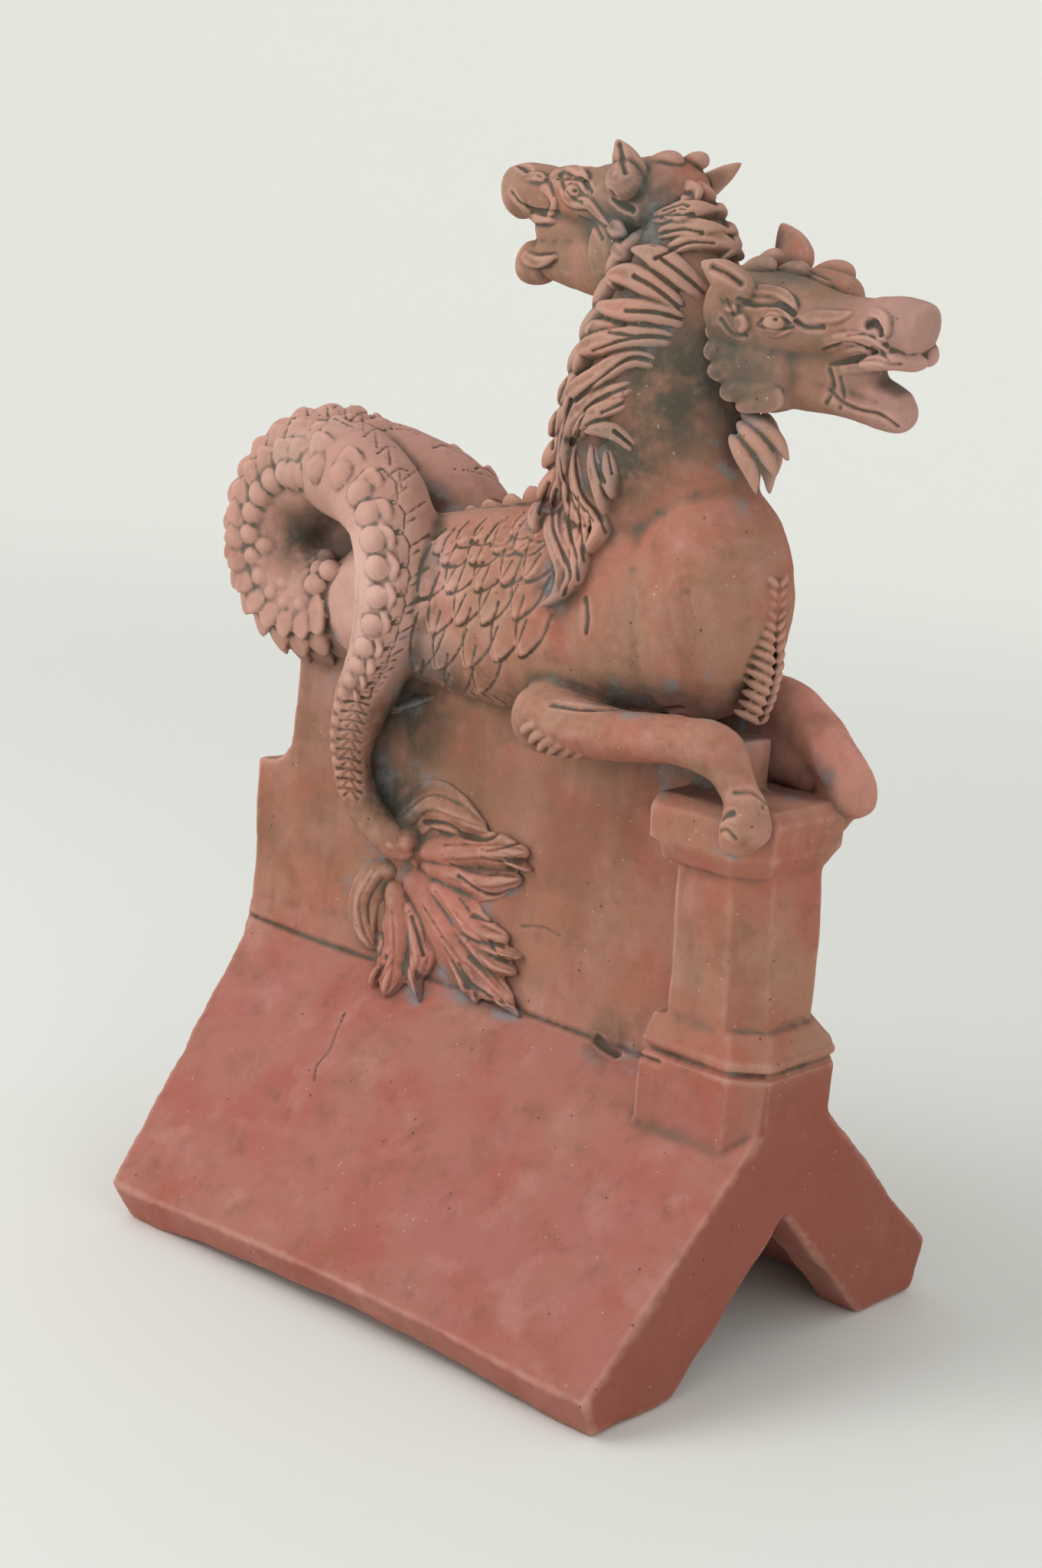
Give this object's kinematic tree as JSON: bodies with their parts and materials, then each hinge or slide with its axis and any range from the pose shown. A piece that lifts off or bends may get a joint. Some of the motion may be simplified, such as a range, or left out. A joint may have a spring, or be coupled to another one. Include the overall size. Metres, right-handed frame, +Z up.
{
  "type": "ridge beast ornament",
  "caption": "Terracotta saddle ridge tile with an upright web and a pier, topped by a two-headed sea horse with a scaled coiled tail and leaf ends.",
  "frame": {"origin": "middle of the whole ornament's box, on the ground under the tile's feet", "axes": "+Z up; +X along the ridge towards the front, where the pier, the forelegs and the front head are; +Y across the ridge"},
  "size_m": [0.5774, 0.369, 0.762],
  "materials": {
    "terracotta": "matt, weathered, unglazed fired clay with grime in the hollows"
  },
  "bodies": {
    "root": {"ridge_tile_beast": "terracotta"}
  },
  "joints": []
}
